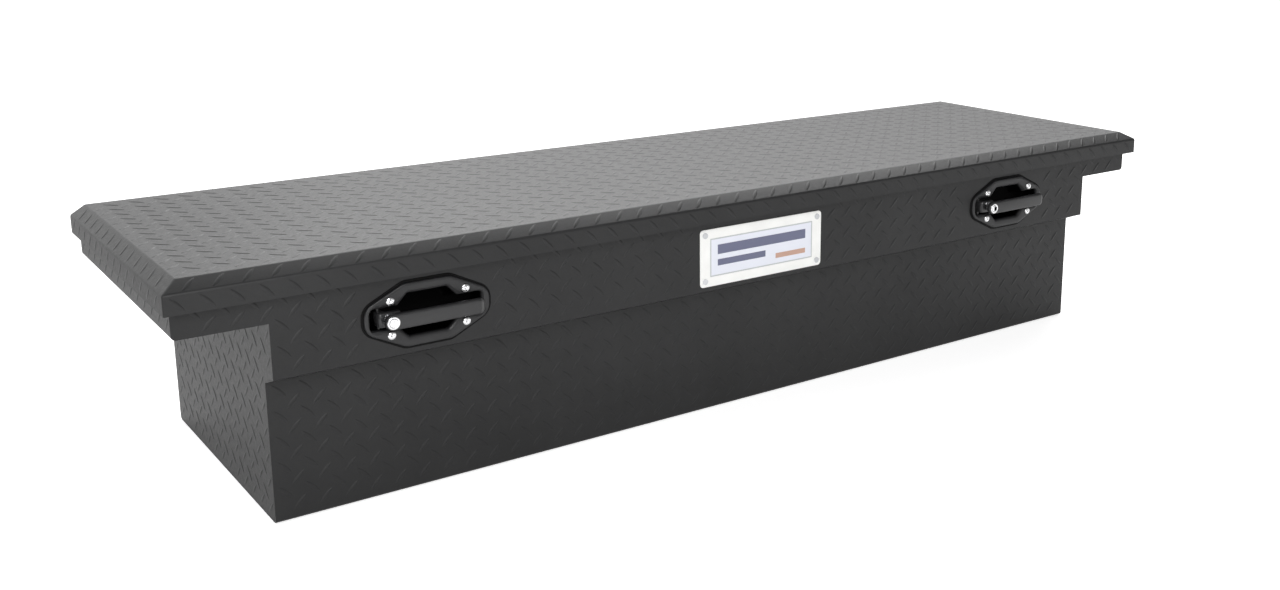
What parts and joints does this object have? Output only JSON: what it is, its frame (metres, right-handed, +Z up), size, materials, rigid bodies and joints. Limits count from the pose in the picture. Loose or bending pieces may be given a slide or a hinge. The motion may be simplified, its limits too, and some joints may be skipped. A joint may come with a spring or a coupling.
{
  "type": "truck tool box",
  "caption": "Low-profile crossover truck tool box with a stepped tub, bed-rail wings, one chamfered hinged lid, pull-lever latches and a blank front plate.",
  "frame": {"origin": "on the underside of the tub floor, at the middle of the lid's length and width", "axes": "+X right along the box, -Y out of the latch side, +Z up"},
  "size_m": [1.778, 0.5176, 0.355],
  "materials": {
    "powder_coat": "matte textured black powder coat over tread plate",
    "latch_black": "semi-gloss black enamel",
    "black_rubber": "matte",
    "chrome": "polished",
    "zinc_steel": "zinc plated",
    "raw_aluminium": "mill finish",
    "foam": "rigid insulating foam",
    "plate_white": "satin printed plate, blank of any mark",
    "strut_black": "satin black"
  },
  "bodies": {
    "box": {"tub_wrap": "powder_coat", "left_end_saddle": "powder_coat", "right_end_saddle": "powder_coat", "rim_frame": "powder_coat", "weather_seal": "black_rubber", "hinge_body_leaf": "zinc_steel", "hinge_pin": "zinc_steel", "hinge_body_rivets": "raw_aluminium", "nameplate": "plate_white", "nameplate_rivets": "raw_aluminium", "latch_screws": "chrome", "latch_nuts": "zinc_steel", "left_latch_gasket": "black_rubber", "left_latch_dish": "latch_black", "left_lever_pin": "zinc_steel", "left_latch_housing": "zinc_steel", "left_fork_pin": "zinc_steel", "left_pawl_pin": "zinc_steel", "left_fork_spring": "zinc_steel", "left_pawl_spring": "zinc_steel", "left_strut_wall_bracket": "zinc_steel", "right_latch_gasket": "black_rubber", "right_latch_dish": "latch_black", "right_lever_pin": "zinc_steel", "right_latch_housing": "zinc_steel", "right_fork_pin": "zinc_steel", "right_pawl_pin": "zinc_steel", "right_fork_spring": "zinc_steel", "right_pawl_spring": "zinc_steel", "right_strut_wall_bracket": "zinc_steel"},
    "lid": {"lid_skin": "powder_coat", "lid_foam_core": "foam", "lid_inner_pan": "powder_coat", "hinge_lid_leaf": "zinc_steel", "hinge_lid_rivets": "raw_aluminium", "left_striker": "zinc_steel", "left_strut_lid_bracket": "zinc_steel", "right_striker": "zinc_steel", "right_strut_lid_bracket": "zinc_steel"},
    "left_lever_assembly": {"left_lever": "latch_black", "left_lock_cylinder": "chrome"},
    "left_key_plug_assembly": {"left_key_plug": "chrome", "left_lock_cam": "zinc_steel"},
    "left_fork_body": {"left_fork": "zinc_steel"},
    "left_pawl_body": {"left_pawl": "zinc_steel"},
    "left_strut_tube_body": {"left_strut_tube": "strut_black"},
    "left_strut_rod_body": {"left_strut_rod": "chrome"},
    "right_lever_assembly": {"right_lever": "latch_black", "right_lock_cylinder": "chrome"},
    "right_key_plug_assembly": {"right_key_plug": "chrome", "right_lock_cam": "zinc_steel"},
    "right_fork_body": {"right_fork": "zinc_steel"},
    "right_pawl_body": {"right_pawl": "zinc_steel"},
    "right_strut_tube_body": {"right_strut_tube": "strut_black"},
    "right_strut_rod_body": {"right_strut_rod": "chrome"}
  },
  "joints": [
    {"name": "lid_hinge", "type": "hinge", "parent": "box", "child": "lid", "pos_m": [0, 0.2516, 0.316], "axis": [-1, 0, 0], "range_deg": [0, 60]},
    {"name": "left_lever_pull", "type": "hinge", "parent": "box", "child": "left_lever_assembly", "pos_m": [-0.6235, -0.23, 0.2595], "axis": [0, 0, -1], "range_deg": [0, 30]},
    {"name": "left_key_turn", "type": "hinge", "parent": "left_lever_assembly", "child": "left_key_plug_assembly", "pos_m": [-0.615, -0.263, 0.2595], "axis": [0, 1, 0], "range_deg": [0, 90]},
    {"name": "left_fork_turn", "type": "hinge", "parent": "box", "child": "left_fork_body", "pos_m": [-0.557, -0.167, 0.302], "axis": [-1, 0, 0], "range_deg": [0, 70]},
    {"name": "left_pawl_release", "type": "hinge", "parent": "box", "child": "left_pawl_body", "pos_m": [-0.557, -0.183, 0.267], "axis": [1, 0, 0], "range_deg": [0, 18.5]},
    {"name": "left_strut_swing", "type": "hinge", "parent": "box", "child": "left_strut_tube_body", "pos_m": [-0.744, 0.2215, 0.1878], "axis": [-1, 0, 0], "range_deg": [0, 16]},
    {"name": "left_strut_slide", "type": "slide", "parent": "left_strut_tube_body", "child": "left_strut_rod_body", "axis": [0, -0.2883, 0.9575], "range_m": [0, 0.0565]},
    {"name": "right_lever_pull", "type": "hinge", "parent": "box", "child": "right_lever_assembly", "pos_m": [0.4865, -0.23, 0.2595], "axis": [0, 0, -1], "range_deg": [0, 30]},
    {"name": "right_key_turn", "type": "hinge", "parent": "right_lever_assembly", "child": "right_key_plug_assembly", "pos_m": [0.495, -0.263, 0.2595], "axis": [0, 1, 0], "range_deg": [0, 90]},
    {"name": "right_fork_turn", "type": "hinge", "parent": "box", "child": "right_fork_body", "pos_m": [0.553, -0.167, 0.302], "axis": [-1, 0, 0], "range_deg": [0, 70]},
    {"name": "right_pawl_release", "type": "hinge", "parent": "box", "child": "right_pawl_body", "pos_m": [0.553, -0.183, 0.267], "axis": [1, 0, 0], "range_deg": [0, 18.5]},
    {"name": "right_strut_swing", "type": "hinge", "parent": "box", "child": "right_strut_tube_body", "pos_m": [0.744, 0.2215, 0.1878], "axis": [-1, 0, 0], "range_deg": [0, 16]},
    {"name": "right_strut_slide", "type": "slide", "parent": "right_strut_tube_body", "child": "right_strut_rod_body", "axis": [0, -0.2883, 0.9575], "range_m": [0, 0.0565]}
  ],
  "couplings": [
    {"joint": "left_pawl_release", "follows": "left_lever_pull", "ratio": 0.6},
    {"joint": "left_strut_swing", "follows": "lid_hinge", "ratio": 0.2622},
    {"joint": "left_strut_slide", "follows": "lid_hinge", "m_per_rad": 0.05348},
    {"joint": "right_pawl_release", "follows": "right_lever_pull", "ratio": 0.6},
    {"joint": "right_strut_swing", "follows": "lid_hinge", "ratio": 0.2622},
    {"joint": "right_strut_slide", "follows": "lid_hinge", "m_per_rad": 0.05348}
  ]
}
